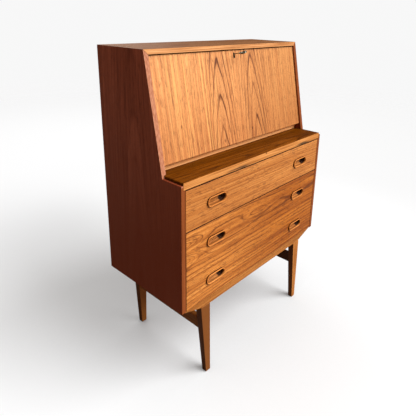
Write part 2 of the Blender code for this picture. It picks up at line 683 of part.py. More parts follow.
def build_drawer(drawer_name, top, bottom, pull_rows, materials):
    middle = (top + bottom) / 2
    half_row = (top - bottom) / 2
    drawer = make_empty(drawer_name + "_slide", (0.0, FRONT, middle))
    name = drawer_name + "_"
    box_z = (-half_row + BOX_FLOOR_LIFT, half_row - BOX_TOP_DROP)
    base_z = (box_z[0] + BASE_LIFT, box_z[0] + BASE_LIFT + BASE_T)
    slot_z = (base_z[0] - GAP, base_z[1] + GAP)
    inner_x = BOX_HALF_WIDTH - BOX_SIDE_T

    front_half = INNER_X - FRONT_SIDE_CLEARANCE
    front_x = (-front_half, front_half)
    front_z = (-half_row + ROW_GAP / 2, half_row - ROW_GAP / 2)
    front = box(name + "front", front_x, (0.0, FRONT_T), front_z, materials["teak_front"], drawer)
    slot_half = inner_x + BASE_GROOVE + GAP
    slot_y = (FRONT_T - BASE_GROOVE - GAP, FRONT_T + OVERCUT)
    cut(front, box("base_slot", (-slot_half, slot_half), slot_y, slot_z, parent=drawer))
    for side in (-1, 1):
        for row_name, height in pull_rows.items():
            centre = (side * PULL_X, height - middle)
            build_pull(front, name + row_name + "_" + side_name(side), centre, materials, drawer)
        build_box_side(side, name, box_z, slot_z, materials, drawer)

    back_half = inner_x - GAP
    back_y = (BOX_DEPTH - BOX_SIDE_T, BOX_DEPTH)
    back_z = (base_z[1] + GAP, box_z[1] - BACK_DROP)
    box(name + "back", (-back_half, back_half), back_y, back_z, materials["beech"], drawer)
    base_half = inner_x + BASE_GROOVE
    base_y = (FRONT_T - BASE_GROOVE, BOX_DEPTH)
    box(name + "bottom", (-base_half, base_half), base_y, base_z, materials["plywood"], drawer)


def build_pull(front, name, centre, materials, drawer):
    """A pull, let into an oval seat in the drawer front."""
    seat = oval(PULL_LENGTH + 2 * GAP, PULL_HEIGHT + 2 * GAP, centre)
    cut(front, prism("pull_seat", seat, "Y", -OVERCUT, PULL_INSET + GAP, parent=drawer))
    loft(name, pull_loops(*centre), materials["teak_solid"], drawer)


def build_box_side(side, name, box_z, slot_z, materials, drawer):
    """A side of a drawer's box, grooved outside for its runner and inside for its base."""
    inner_x = BOX_HALF_WIDTH - BOX_SIDE_T
    wall_x = mirrored(side, inner_x, BOX_HALF_WIDTH)
    wall_name = name + side_name(side) + "_side"
    wall = box(wall_name, wall_x, (FRONT_T + GAP, BOX_DEPTH), box_z, materials["beech"], drawer)
    face_play, edge_play = RUNNER_PLAY
    groove_x = mirrored(side, INNER_X - RUNNER_T - face_play, BOX_HALF_WIDTH + OVERCUT)
    groove_half = RUNNER_HEIGHT / 2 + edge_play
    groove_y = (FRONT_T, BOX_DEPTH + OVERCUT)
    cut(wall, box("runner_groove", groove_x, groove_y, (-groove_half, groove_half), parent=drawer))
    base_x = mirrored(side, inner_x - OVERCUT, inner_x + BASE_GROOVE + GAP)
    cut(wall, box("base_groove", base_x, groove_y, slot_z, parent=drawer))


# Writing compartment


def build_gallery(materials):
    half = INNER_X - GAP
    shelf_z = (SHELF_Z, SHELF_Z + SHELF_T)
    box("gallery_shelf", (-half, half), (FRONT + SHELF_SETBACK, REAR_WALL), shelf_z, materials["teak_top"])
    divider_z = (BOARD_TOP + GAP, SHELF_Z - GAP)
    for side in (-1, 1):
        divider_x = mirrored(side, DIVIDER_X - DIVIDER_T / 2, DIVIDER_X + DIVIDER_T / 2)
        name = "gallery_divider_" + side_name(side)
        box(name, divider_x, (FRONT + DIVIDER_SETBACK, REAR_WALL), divider_z, materials["teak_solid"])
        build_small_drawer(side, materials)


def build_small_drawer(side, materials):
    near = DIVIDER_X + DIVIDER_T / 2 + SMALL_GAP
    far = INNER_X - SMALL_GAP
    low = BOARD_TOP + SMALL_LIFT
    height = SHELF_Z - SMALL_GAP - low
    half = (far - near) / 2
    place_name = "small_drawer_pull_" + side_name(side)
    drawer = make_empty(place_name, (side * (near + far) / 2, FRONT + DIVIDER_SETBACK, low))
    name = "small_drawer_" + side_name(side) + "_"
    front_y = (0.0, SMALL_FRONT_T)
    front = box(name + "front", (-half, half), front_y, (0.0, height), materials["teak_front"], drawer)
    notch = circle(FINGER_NOTCH_R, (0.0, height), 24)
    notch_end = SMALL_FRONT_T + OVERCUT
    cut(front, prism("finger_notch", notch, "Y", -OVERCUT, notch_end, parent=drawer))
    tray_half = half - TRAY_INSET
    tray_y = (SMALL_FRONT_T + GAP, TRAY_END)
    tray_z = (0.0, height - TRAY_DROP)
    tray = box(name + "tray", (-tray_half, tray_half), tray_y, tray_z, materials["beech"], drawer)
    hollow_half = tray_half - TRAY_WALL
    hollow_y = (tray_y[0] + TRAY_WALL, tray_y[1] - TRAY_WALL)
    hollow_z = (TRAY_FLOOR, tray_z[1] + OVERCUT)
    cut(tray, box("hollow", (-hollow_half, hollow_half), hollow_y, hollow_z, parent=drawer))


def build_materials():
    return {
        "teak_front": make_material("teak_front", (0.62, 0.25, 0.08), 0.42),
        "teak_flap": make_material("teak_flap", (0.72, 0.36, 0.14), 0.42),
        "teak_top": make_material("teak_top", (0.45, 0.20, 0.08), 0.40),
        "teak_side": make_material("teak_side", (0.26, 0.09, 0.04), 0.45),
        "teak_solid": make_material("teak_solid", (0.38, 0.15, 0.05), 0.45),
        "beech": make_material("beech", (0.62, 0.43, 0.26), 0.60),
        "plywood": make_material("plywood", (0.48, 0.32, 0.18), 0.65),
        "brass": make_material("brass", (0.55, 0.42, 0.20), 0.35, 1.0),
        "steel": make_material("steel", (0.42, 0.42, 0.36), 0.35, 1.0),
    }


def build_desk():
    clear_scene()
    materials = build_materials()
    build_top(materials)
    build_strike(materials)
    build_back(materials)
    build_bottom(materials)
    build_desk_board(materials)
    build_flap_stop(materials)
    build_runners(materials)
    for rear in (False, True):
        build_apron(rear, materials)
    flap = build_flap(materials)
    for side in (-1, 1):
        build_side(side, materials)
        build_stretcher(side, materials)
        build_hinge(side, flap, materials)
        for rear in (False, True):
            build_leg(side, rear, materials)
    build_slide(materials)
    for drawer_name, top, bottom, pull_rows in DRAWERS:
        build_drawer(drawer_name, top, bottom, pull_rows, materials)
    build_gallery(materials)


build_desk()
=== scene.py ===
"""Looks of the drop-front secretary desk: teak, fittings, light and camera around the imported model.

Metres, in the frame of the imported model: +Z up, -Y to the front, +X to the right, origin on the floor.
"""
import json
import math

import bmesh
import bpy
from mathutils import Matrix, Vector


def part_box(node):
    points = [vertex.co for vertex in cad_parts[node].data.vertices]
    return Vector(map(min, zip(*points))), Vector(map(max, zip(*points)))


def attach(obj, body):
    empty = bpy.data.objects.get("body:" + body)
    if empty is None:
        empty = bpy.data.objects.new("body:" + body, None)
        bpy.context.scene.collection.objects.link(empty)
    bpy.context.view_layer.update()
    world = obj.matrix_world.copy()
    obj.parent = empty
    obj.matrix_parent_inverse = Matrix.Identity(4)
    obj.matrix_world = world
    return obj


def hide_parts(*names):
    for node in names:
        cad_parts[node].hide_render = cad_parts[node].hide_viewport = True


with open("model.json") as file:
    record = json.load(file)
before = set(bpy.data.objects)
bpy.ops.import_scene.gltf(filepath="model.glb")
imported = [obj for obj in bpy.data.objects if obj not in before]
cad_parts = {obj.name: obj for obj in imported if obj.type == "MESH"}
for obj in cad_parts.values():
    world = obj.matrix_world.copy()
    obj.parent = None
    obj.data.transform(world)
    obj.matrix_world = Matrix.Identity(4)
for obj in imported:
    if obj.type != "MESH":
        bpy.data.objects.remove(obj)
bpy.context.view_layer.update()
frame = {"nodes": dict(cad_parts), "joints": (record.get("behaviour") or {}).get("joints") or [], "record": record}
nodes = frame["nodes"]

# Places read from the frame
FRONT_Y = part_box("left_side")[0].y
SLIDE_LOW, SLIDE_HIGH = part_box("slide_board")
JOINTS = {joint["name"]: joint for joint in frame["joints"]}
FLAP_OUT = Vector(JOINTS["key_turn"]["axis"])
FLAP_UP = Vector(JOINTS["bolt_throw"]["axis"])
HINGE = Vector(JOINTS["flap_hinge"]["pos_m"])
KEYHOLE = Vector(JOINTS["key_turn"]["pos_m"])
PULL_OUT = (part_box("upper_drawer_pull_right")[0].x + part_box("upper_drawer_pull_right")[1].x) / 2

# The pulls, each with the body that it rides on
PULLS = sorted(
    (node, body)
    for body, members in frame["record"]["behaviour"]["bodies"].items()
    for node in members
    if "_pull_" in node
)

# Camera: its place, its turn about the vertical, its tilt and its roll in degrees, and its lens
CAMERA_PLACE = (-1.0995, -0.9555, 1.1745)
CAMERA_TURN = -48.596
CAMERA_TILT = 72.847
CAMERA_ROLL = 1.332
CAMERA_LENS = 35.235
CAMERA_SHIFT = (-0.0315, -0.1545)

# Light
BACKGROUND = 0.935
AMBIENT = 0.20
AMBIENT_COLOR = (1.0, 0.86, 0.76, 1.0)
SUN_STRENGTH = 5.4
SUN_COLOR = (1.0, 0.99, 0.98)
SUN_AZIMUTH = 31.0  # to the right of straight in front
SUN_ELEVATION = 43.0
SUN_SPREAD = 46.0
LAMP_PLACE = (1.2, 3.0, 2.9)  # a weak lamp behind the desk
LAMP_TARGET = (0.0, 0.0, 0.7)
LAMP_SIZE = 1.8
LAMP_POWER = 22.0

# Floor
FLOOR_RADIUS = 9.0
FLOOR_SEEN = (0.425, 0.435, 0.445, 1.0)
FLOOR_BOUNCE = (0.30, 0.25, 0.21, 1.0)
FLOOR_GLOW = 0.48
FLOOR_REACH = 0.8  # how far the cabinet dims the glow around it, as painted shade
FLOOR_SHADE = (-0.05, 1.10, 0.50, 0.17)  # a soft painted shade behind the desk: its place, reach and depth
FLOOR_DIM = (0.8, 2.0, 0.13)  # the glow dies away between two distances, by so much
FLOOR_FADE = (3.0, 7.0)  # between these distances the floor gives way to the background

# Colours of a wood: light, middle and dark ground, and the ring lines
# the grounds of the left side, the top and the slide are darker than their teak as painted shade; the right side's
# a little
WOODS = {
    "upper": ((0.78, 0.330, 0.086), (0.60, 0.220, 0.047), (0.40, 0.122, 0.020), (0.15, 0.040, 0.009)),
    "lower": ((0.83, 0.335, 0.074), (0.61, 0.210, 0.037), (0.36, 0.102, 0.014), (0.13, 0.034, 0.007)),
    "flap": ((0.92, 0.435, 0.154), (0.745, 0.305, 0.099), (0.53, 0.183, 0.050), (0.12, 0.030, 0.008)),
    "side": ((0.46, 0.116, 0.054), (0.33, 0.074, 0.032), (0.205, 0.042, 0.016), (0.09, 0.018, 0.006)),
    "right": ((0.50, 0.165, 0.060), (0.37, 0.108, 0.036), (0.24, 0.062, 0.019), (0.10, 0.024, 0.007)),
    "top": ((0.32, 0.130, 0.036), (0.24, 0.088, 0.020), (0.16, 0.052, 0.010), (0.07, 0.021, 0.005)),
    "slide": ((0.23, 0.068, 0.004), (0.137, 0.036, 0.001), (0.075, 0.018, 0.001), (0.03, 0.008, 0.001)),
    "solid": ((0.60, 0.245, 0.062), (0.44, 0.160, 0.034), (0.28, 0.090, 0.016), (0.12, 0.034, 0.008)),
    "pull": ((0.86, 0.360, 0.092), (0.68, 0.245, 0.054), (0.46, 0.142, 0.026), (0.16, 0.045, 0.010)),
}
BEECH = ((0.66, 0.47, 0.29), (0.50, 0.32, 0.17))

# Colours of the solid strips on front edges: light, middle and dark
# the desk board's strip is lighter than its wood: painted light where the flap shades it
GOLD_STRIP_PAINTED_LIGHT = ((1.00, 0.520, 0.220), (0.98, 0.440, 0.160), (0.85, 0.330, 0.100))
PALE_STRIP = ((0.76, 0.340, 0.105), (0.54, 0.210, 0.055), (0.30, 0.098, 0.020))
TOP_STRIP = ((0.75, 0.365, 0.145), (0.54, 0.226, 0.075), (0.30, 0.105, 0.027))
PINK_STRIP = ((0.56, 0.250, 0.145), (0.45, 0.175, 0.094), (0.31, 0.108, 0.056))
RED_STRIP = ((0.30, 0.082, 0.022), (0.23, 0.058, 0.014), (0.15, 0.035, 0.008))

# Stains, and the dark colours of painted shade in gaps and pockets, where the pockets also hold grime
SHADE_AND_GRIME = (0.030, 0.008, 0.002)
GAP_SHADE_BROWN = (0.22, 0.070, 0.015)
KNOT_BROWN = (0.05, 0.015, 0.006)
WORN_BROWN = (0.13, 0.065, 0.030)
PALE_STREAK = (1.00, 0.530, 0.160)

# Patterns in wood: cycles per metre along and across the grain
TREMBLE = (16.0, 70.0)
RING_PATCHES = (9.0, 30.0)
FIBRES = (5.0, 330.0)
FLECKS = (42.0, 250.0)
PORES = (110.0, 1500.0)
CLOUDS = (1.3, 3.4)
VEINS = (0.5, 26.0)
VEIN_BREAKS = (6.0, 60.0)
STRIP_GRAIN = (6.0, 420.0)
PALE_STREAKS = (2.4, 210.0)
WEAR_STREAKS = (14.0, 260.0)
PLAIN_FLECKS = (60.0, 420.0)

STREAK_LENGTH = 2.2  # cycles per metre of the streaks along the grain
TREMBLE_REACH = 0.0012
VEIN_COUNT = 14.0
MIDDLE_TONE = 0.61  # the tone that has a wood's middle colour
TONE_REACH = 0.17  # from there to its light and dark ones, at contrast 1

# How the boards are cut: the rings that their faces show
SIDE_CUT = {"start": 0.9, "radius": 0.120, "taper": 0.040, "ring": 0.0075, "line": 0.10}
SLIDE_CUT = {"centre": -0.16, "start": 0.3, "radius": 0.080, "taper": 0.030, "ring": 0.006, "line": 0.4}
SOLID_CUT = {"start": 0.2, "radius": 0.050, "taper": 0.020, "ring": 0.004}


# ---------------------------------------------------------------- shader nodes


class Graph:
    """One node material. Its methods add nodes and link what they are given.

    Most return an output socket; node and noise return the node, and split a socket for each axis.
    """

    def __init__(self, name):
        self.material = bpy.data.materials.new(name)
        self.material.use_nodes = True
        self.tree = self.material.node_tree
        self.shader = self.tree.nodes["Principled BSDF"]
        coordinates = self.tree.nodes.new("ShaderNodeTexCoord")
        self.place = coordinates.outputs["Object"]
        self.normal = coordinates.outputs["Normal"]

    def put(self, socket, value):
        if isinstance(value, bpy.types.NodeSocket):
            self.tree.links.new(value, socket)
        else:
            socket.default_value = value

    def node(self, kind, inputs, **settings):
        made = self.tree.nodes.new("ShaderNode" + kind)
        for key, value in settings.items():
            setattr(made, key, value)
        for socket, value in inputs.items():
            self.put(made.inputs[socket], value)
        return made

    def math(self, operation, *values):
        return self.node("Math", dict(enumerate(values)), operation=operation).outputs[0]

    def off(self, value, place, reach):
        """How far a value is from a place, as a share of a reach."""
        return self.math("DIVIDE", self.math("SUBTRACT", value, place), reach)

    def squares(self, first, second):
        """The sum of two squares."""
        return self.math("MULTIPLY_ADD", first, first, self.math("MULTIPLY", second, second))

    def bell(self, squared):
        """A soft hill: 1 in the middle, and nearly 0 where the squared distance is 4."""
        return self.math("EXPONENT", self.math("MULTIPLY", squared, -1.0))

    def split(self, vector):
        made = self.node("SeparateXYZ", {0: vector})
        return {axis: made.outputs[axis] for axis in "XYZ"}

    def stretch(self, scales, shift=0.0):
        """Object coordinates scaled along each axis and shifted, for a texture of its own."""
        made = self.node("Mapping", {"Vector": self.place, "Scale": scales, "Location": (shift,) * 3})
        return made.outputs[0]

    def noise(self, vector, detail=2.0, roughness=0.5):
        inputs = {"Vector": vector, "Scale": 1.0, "Detail": detail, "Roughness": roughness}
        return self.node("TexNoise", inputs)

    def noise_line(self, value):
        """Noise that depends on one number alone."""
        inputs = {"W": value, "Scale": 1.0, "Detail": 3.0, "Roughness": 0.55}
        return self.node("TexNoise", inputs, noise_dimensions="1D").outputs["Fac"]

    def grained(self, grain, scales, shift, detail=2.0, roughness=0.5):
        """Noise stretched along the grain; scales are along and across it."""
        vector = self.stretch(axis_scales(grain, *scales), shift)
        return self.noise(vector, detail, roughness).outputs["Fac"]

    def remap(self, value, low, high, to_low=0.0, to_high=1.0, smooth=False):
        inputs = {0: value, 1: low, 2: high, 3: to_low, 4: to_high}
        kind = "SMOOTHSTEP" if smooth else "LINEAR"
        return self.node("MapRange", inputs, interpolation_type=kind).outputs[0]

    def ramp(self, value, stops):
        made = self.node("ValToRGB", {0: value})
        band = made.color_ramp
        while len(band.elements) < len(stops):
            band.elements.new(0.5)
        for element, (place, color) in zip(band.elements, stops):
            element.position = place
            element.color = (*color, 1.0)
        return made.outputs[0]

    def mix(self, share, first, second, blend="MIX"):
        made = self.tree.nodes.new("ShaderNodeMix")
        made.data_type = "RGBA"
        made.blend_type = blend
        self.put(made.inputs[0], share)
        for socket, value in ((made.inputs[6], first), (made.inputs[7], second)):
            if isinstance(value, tuple):
                value = (*value, 1.0)
            self.put(socket, value)
        return made.outputs[2]

    def bump(self, height, distance, strength):
        inputs = {"Height": height, "Distance": distance, "Strength": strength}
        self.put(self.shader.inputs["Normal"], self.node("Bump", inputs).outputs[0])


def axis_scales(along, scale_along, scale_across):
    """Scales for the three axes; along names the axis, or axes, in which the pattern is stretched."""
    return tuple(scale_along if axis in along else scale_across for axis in "XYZ")


# ---------------------------------------------------------------- wood


def ring_distance(
    graph,
    places,
    along,
    across,
    grain,
    seed,
    centre=0.0,
    fold=None,
    point=0.0,
    start=0.0,
    radius=0.10,
    taper=0.07,
    lean=0.0,
    waves=(2.2, 7.0, 0.010, 0.003),
    swirls=(),
):
    """Distance from the ring that has its apex at start, and distance aside from the rings' middle.

    The middle is at centre across the face, or at fold to each side of it, and leans across by lean
    for each metre. The log's axis lies radius deep at start, and taper deeper for each metre along
    the grain. point sharpens the arches. waves are two scales, along and across the grain, and two
    reaches, across the face and in depth. Each of swirls is a hill in the rings: its place along and
    across the face, its two reaches and its height.
    """
    u = graph.math("SUBTRACT", places[along], start)
    v = graph.math("SUBTRACT", places[across], centre)
    if fold is not None:
        v = graph.math("SUBTRACT", graph.math("ABSOLUTE", v), fold)
    v = graph.math("MULTIPLY_ADD", u, lean, v)

    # slow waves move the rings about, stretched along the grain
    slow, quick, reach, deep = waves
    wave = graph.noise(graph.stretch(axis_scales(grain, slow, quick), seed), detail=3.0)
    moves = graph.node("SeparateColor", {0: wave.outputs["Color"]})
    v = graph.math("ADD", v, graph.remap(moves.outputs[0], 0.0, 1.0, -reach, reach))
    aside = graph.math("ABSOLUTE", v)
    depth = graph.math("MULTIPLY_ADD", u, taper, radius)
    depth = graph.math("ADD", depth, graph.remap(moves.outputs[1], 0.0, 1.0, -deep, deep))
    squared = graph.squares(graph.math("ADD", aside, point), depth)
    distance = graph.math("SUBTRACT", graph.math("SQRT", squared), math.hypot(radius, point))
    tremble = graph.grained(grain, TREMBLE, seed)
    tremble = graph.remap(tremble, 0.0, 1.0, -TREMBLE_REACH, TREMBLE_REACH)
    distance = graph.math("ADD", distance, tremble)
    for place, height, long, wide, rise in swirls:
        away = graph.squares(graph.off(places[along], place, long), graph.off(places[across], height, wide))
        distance = graph.math("MULTIPLY_ADD", graph.bell(away), rise, distance)
    return distance, aside


def ring_lines(graph, grain, distance, ring, width, seed):
    """Growth rings: a thin dark line with a soft dark flank on one side, uneven from ring to ring."""
    share = graph.math("FRACT", graph.math("DIVIDE", distance, ring))
    line = ((0.0, 1.0), (width * 0.7, 0.95), (width * 1.3, 0.15))
    flank = ((0.5, 0.0), (1.0 - width, 0.05), (1.0, 0.9))
    late = graph.ramp(share, [(at, (level, level, level)) for at, level in line + flank])
    patch = graph.grained(grain, RING_PATCHES, seed + 3.0)
    return graph.math("MULTIPLY", late, graph.remap(patch, 0.36, 0.60, 0.35, 1.0))


def vein_lines(graph, grain, seed):
    """Long lines that wander along the grain and break off."""
    drift = graph.grained(grain, VEINS, seed + 11.0, detail=1.0)
    phase = graph.math("FRACT", graph.math("MULTIPLY", drift, VEIN_COUNT))
    crossing = graph.math("ABSOLUTE", graph.math("SUBTRACT", phase, 0.5))
    broken = graph.grained(grain, VEIN_BREAKS, seed + 13.0, detail=1.0)
    broken = graph.remap(broken, 0.40, 0.58, 0.15, 1.0)
    return graph.math("MULTIPLY", graph.remap(crossing, 0.30, 0.10), broken)


def wood(
    name,
    colors,
    along,
    across,
    flat="",
    seed=0.0,
    ring=0.006,
    line=0.5,
    width=0.13,
    flank=1.0,
    banding=0.45,
    streak=75.0,
    contrast=1.0,
    veins=0.0,
    fleck_share=0.34,
    specular=0.30,
    paint=(),
    **cut,
):
    """Teak cut from a log of growth rings about an axis that leans slightly to the face.

    along and across are the axes of the grain and of the face's width, and flat is an axis nearly
    square to the face. Rings are ring apart. Their lines have the strength line and take up width of
    a ring, and flank is what is left of them aside of the rings' middle. banding is the change of
    ground from ring to ring, streak the number of streaks in a metre, contrast the spread of the
    ground's colours, veins and fleck_share the strengths of veins and flecks. paint holds functions
    that change the colour further. cut goes to ring_distance.
    """
    graph = Graph(name)
    grain = along + flat
    places = graph.split(graph.place)
    distance, aside = ring_distance(graph, places, along, across, grain, seed, **cut)
    late = ring_lines(graph, grain, distance, ring, width, seed)
    if flank < 1.0:
        late = graph.math("MULTIPLY", late, graph.remap(aside, 0.045, 0.085, 1.0, flank))
    bands = graph.noise_line(graph.math("DIVIDE", distance, ring * 1.7))
    fibres = graph.grained(grain, FIBRES, seed, detail=3.0, roughness=0.6)
    streaks = graph.grained(grain, (STREAK_LENGTH, streak), seed + 5.0, detail=3.0, roughness=0.6)

    # pores are short and thin; groups of them show as flecks
    fleck = graph.remap(graph.grained(grain, FLECKS, seed + 7.0), 0.55, 0.67, smooth=True)
    pore = graph.remap(graph.grained(grain, PORES, seed + 9.0, detail=1.0), 0.58, 0.66, smooth=True)

    # the ground, from light to dark
    tone = graph.math("MULTIPLY_ADD", bands, banding, 0.02 + (0.45 - banding) * 0.5)
    for part, share in ((streaks, 0.50), (fibres, 0.20), (late, 0.15)):
        tone = graph.math("MULTIPLY_ADD", part, share, tone)
    light, middle, dark, line_color = colors
    half = TONE_REACH / contrast
    stops = ((MIDDLE_TONE - half, light), (MIDDLE_TONE, middle), (MIDDLE_TONE + half, dark))
    color = graph.ramp(tone, stops)
    cloud = graph.grained(grain, CLOUDS, seed + 2.0)
    color = graph.mix(graph.remap(cloud, 0.42, 0.66, 0.0, 0.35), color, dark)

    # dark marks on it
    if veins:
        vein = graph.math("MULTIPLY", vein_lines(graph, grain, seed), veins)
        color = graph.mix(vein, color, line_color)
    for mark, strength in ((late, line), (fleck, fleck_share), (pore, 0.40)):
        color = graph.mix(graph.math("MULTIPLY", mark, strength), color, line_color)
    for change in paint:
        color = change(graph, places, color)
    graph.put(graph.shader.inputs["Base Color"], color)
    graph.put(graph.shader.inputs["Roughness"], graph.remap(tone, 0.35, 0.85, 0.38, 0.52))
    graph.put(graph.shader.inputs["Specular IOR Level"], specular)
    relief = graph.math("MULTIPLY_ADD", pore, -0.6, graph.math("MULTIPLY", fibres, 0.5))
    graph.bump(graph.math("MULTIPLY_ADD", fleck, -0.3, relief), 0.00018, 0.8)
    return graph.material


# ---------------------------------------------------------------- changes of colour on a wood


def front_faces(graph):
    """1 on the faces turned to the front."""
    return graph.remap(graph.split(graph.normal)["Y"], -0.6, -0.9)


def strip_color(graph, colors, along):
    fine = graph.grained(along, STRIP_GRAIN, 4.0, detail=3.0)
    return graph.ramp(fine, ((0.34, colors[0]), (0.52, colors[1]), (0.72, colors[2])))


def lipping(colors, along, lower=None, line=0.0):
    """The solid strip on the front edges, of its own colour; below the height line it has a second one."""

    def paint(graph, places, color):
        strip = strip_color(graph, colors, along)
        if lower:
            above = graph.remap(places["Z"], line - 0.001, line + 0.001)
            strip = graph.mix(above, strip_color(graph, lower, along), strip)
        return graph.mix(front_faces(graph), color, strip)

    return paint


def tinge(axis, low, high, tint):
    """A slow change along one axis that keeps the grain: the colour is multiplied by the tint."""

    def paint(graph, places, color):
        share = graph.remap(places[axis], low, high, smooth=True)
        return graph.mix(share, color, tint, blend="MULTIPLY")

    return paint


def shade(axis, low, high, amount, plain):
    """A slow change towards a plain colour along one axis."""

    def paint(graph, places, color):
        share = graph.remap(places[axis], low, high, 0.0, amount, smooth=True)
        return graph.mix(share, color, plain)

    return paint


def bright_streaks(along, across, place, half, bright):
    """Long pale streaks over one part of a face."""

    def paint(graph, places, color):
        lines = graph.remap(graph.grained(along, PALE_STREAKS, 41.0), 0.54, 0.64)
        away = graph.math("ABSOLUTE", graph.math("SUBTRACT", places[across], place))
        mask = graph.math("MULTIPLY", lines, graph.remap(away, half, half * 0.4))
        return graph.mix(graph.math("MULTIPLY", mask, 0.55), color, bright)

    return paint


def knots(along, across, spots, dark):
    """Small dark knots, longer along the grain: place along it, place across it, and size."""

    def paint(graph, places, color):
        for u, v, reach in spots:
            du = graph.math("MULTIPLY", graph.math("SUBTRACT", places[along], u), 0.45)
            dv = graph.math("SUBTRACT", places[across], v)
            away = graph.math("SQRT", graph.squares(du, dv))
            color = graph.mix(graph.remap(away, reach * 0.35, reach * 0.1, 0.0, 0.85), color, dark)
        return color

    return paint


def wear(along, patches, tint):
    """Rubbed and soiled streaks on a front edge: place, half length and height of each."""
    half_height = 0.008

    def paint(graph, places, color):
        facing = front_faces(graph)
        streak = graph.remap(graph.grained(along, WEAR_STREAKS, 31.0, detail=3.0), 0.38, 0.52)
        for place, half, height in patches:
            near = graph.off(places[along], place, half)
            up = graph.off(places["Z"], height, half_height)
            away = graph.math("SQRT", graph.squares(near, up))
            mask = graph.math("MULTIPLY", graph.remap(away, 1.0, 0.4), streak)
            color = graph.mix(graph.math("MULTIPLY", mask, facing), color, tint)
        return color

    return paint


def shaded_flanks(share, dark):
    """Faces turned to the sides are darker: painted shade."""

    def paint(graph, places, color):
        aside = graph.math("ABSOLUTE", graph.split(graph.normal)["X"])
        return graph.mix(graph.remap(aside, 0.5, 0.8, 0.0, share), color, dark)

    return paint


def pocket_shade_and_grime(pull_x):
    """Painted shade and grime on the pockets' floor; painted shade at their right end and at the rim's foot."""

    def paint(graph, places, color):
        middle = graph.math("MULTIPLY", graph.math("SIGN", places["X"]), pull_x)
        local = graph.math("SUBTRACT", places["X"], middle)
        inside = graph.remap(places["Y"], FRONT_Y - 0.0015, FRONT_Y + 0.0020)
        # grime and painted shade on the pocket floor, painted shade at its right end
        floor = graph.math("MULTIPLY", inside, 0.26)
        end = graph.math("MULTIPLY", inside, graph.remap(local, 0.013, 0.021))
        color = graph.mix(graph.math("MAXIMUM", floor, end), color, SHADE_AND_GRIME)
        # painted shade where the rim's outer wall meets the front
        facing = graph.split(graph.normal)["Y"]
        wall = graph.remap(graph.math("ABSOLUTE", facing), 0.5, 0.1)
        foot = graph.remap(places["Y"], FRONT_Y - 0.0040, FRONT_Y - 0.0022)
        return graph.mix(graph.math("MULTIPLY", graph.math("MULTIPLY", wall, foot), 0.95), color, SHADE_AND_GRIME)

    return paint


def gap_shade_end(node, reach):
    """A dark line along the left end of a front: painted shade of the gap there."""
    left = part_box(node)[0].x

    def paint(graph, places, color):
        near = graph.remap(places["X"], left + reach, left + reach * 0.6)
        return graph.mix(near, color, SHADE_AND_GRIME)

    return paint


def gap_shade_edges(graph, places, color):
    """Painted shade on a drawer front's edges, seen in the gaps: nearly black just behind its face, then brown."""
    behind = graph.remap(places["Y"], FRONT_Y + 0.0003, FRONT_Y + 0.0009)
    deep = graph.remap(places["Y"], FRONT_Y + 0.0035, FRONT_Y + 0.0060)
    return graph.mix(behind, color, graph.mix(deep, SHADE_AND_GRIME, GAP_SHADE_BROWN))


# ---------------------------------------------------------------- materials


def plain_wood(name, colors, along, scale=1.0, seed=0.0):
    """Pale secondary timber, for the parts inside and the back; colors are its light and dark ones."""
    graph = Graph(name)
    light, dark = colors
    grain = graph.grained(along, (4.0 * scale, 120.0 * scale), seed, detail=4.0, roughness=0.6)
    fleck = graph.grained(along, PLAIN_FLECKS, seed + 2.0, detail=1.0)
    color = graph.ramp(grain, ((0.34, light), (0.70, dark)))
    fleck = graph.remap(fleck, 0.60, 0.70, 0.0, 0.5, smooth=True)
    color = graph.mix(fleck, color, tuple(0.55 * part for part in dark))
    graph.put(graph.shader.inputs["Base Color"], color)
    graph.put(graph.shader.inputs["Roughness"], graph.remap(grain, 0.3, 0.7, 0.56, 0.70))
    graph.bump(grain, 0.0002, 0.5)
    return graph.material


def metal(name, bright, dull, roughness):
    """Old metal with patches of tarnish and fine scratches."""
    graph = Graph(name)
    cloud = graph.noise(graph.stretch((90.0,) * 3), detail=4.0, roughness=0.65).outputs["Fac"]
    scratch = graph.noise(graph.stretch((1400.0, 1400.0, 160.0))).outputs["Fac"]
    color = graph.mix(graph.remap(cloud, 0.35, 0.62), bright, dull)
    graph.put(graph.shader.inputs["Base Color"], color)
    graph.put(graph.shader.inputs["Metallic"], 1.0)
    graph.put(graph.shader.inputs["Roughness"], graph.remap(cloud, 0.3, 0.7, roughness, roughness + 0.22))
    graph.bump(scratch, 0.00005, 0.4)
    return graph.material


def upper_front_teak():
    """The upper drawer's front: straight grain with faint rings."""
    return wood(
        "teak_upper_front", WOODS["upper"], "X", "Z", seed=3.0, centre=0.520, start=0.30, radius=0.050,
        taper=0.015, waves=(1.6, 6.0, 0.020, 0.016), ring=0.0085, line=0.30, width=0.10, banding=0.30,
        # painted shade on the edges seen in the gaps
        streak=110.0, contrast=1.05, veins=0.16, fleck_share=0.5, paint=(gap_shade_edges,),
    )


def small_front_teak():
    """The fronts of the two small drawers inside."""
    return wood(
        "teak_small_front", WOODS["upper"], "X", "Z", seed=4.0, centre=0.60, start=0.30, radius=0.050,
        taper=0.015, ring=0.0070, line=0.25, width=0.10, banding=0.30, streak=110.0, veins=0.16,
    )


def lower_front_teak():
    """The lower drawer's front: loops at its left end, redder and darker towards the right."""
    swirls = (
        (-0.395, 0.480, 0.080, 0.020, 0.060),
        (-0.395, 0.531, 0.088, 0.018, 0.054),
        (-0.02, 0.522, 0.07, 0.015, 0.022),
    )
    paint = (
        tinge("X", -0.36, 0.20, (0.72, 0.58, 0.28)),
        # painted shade in the gaps: along the left end and on the edges
        gap_shade_end("lower_drawer_front", 0.0013),
        gap_shade_edges,
    )
    return wood(
        "teak_lower_front", WOODS["lower"], "X", "Z", seed=8.0, centre=0.510, point=0.006, start=-0.315,
        radius=0.075, taper=0.022, waves=(1.7, 5.0, 0.022, 0.012), swirls=swirls, ring=0.0120, line=0.70,
        width=0.10, banding=0.40, streak=80.0, contrast=1.25, veins=0.12, fleck_share=0.5, paint=paint,
    )


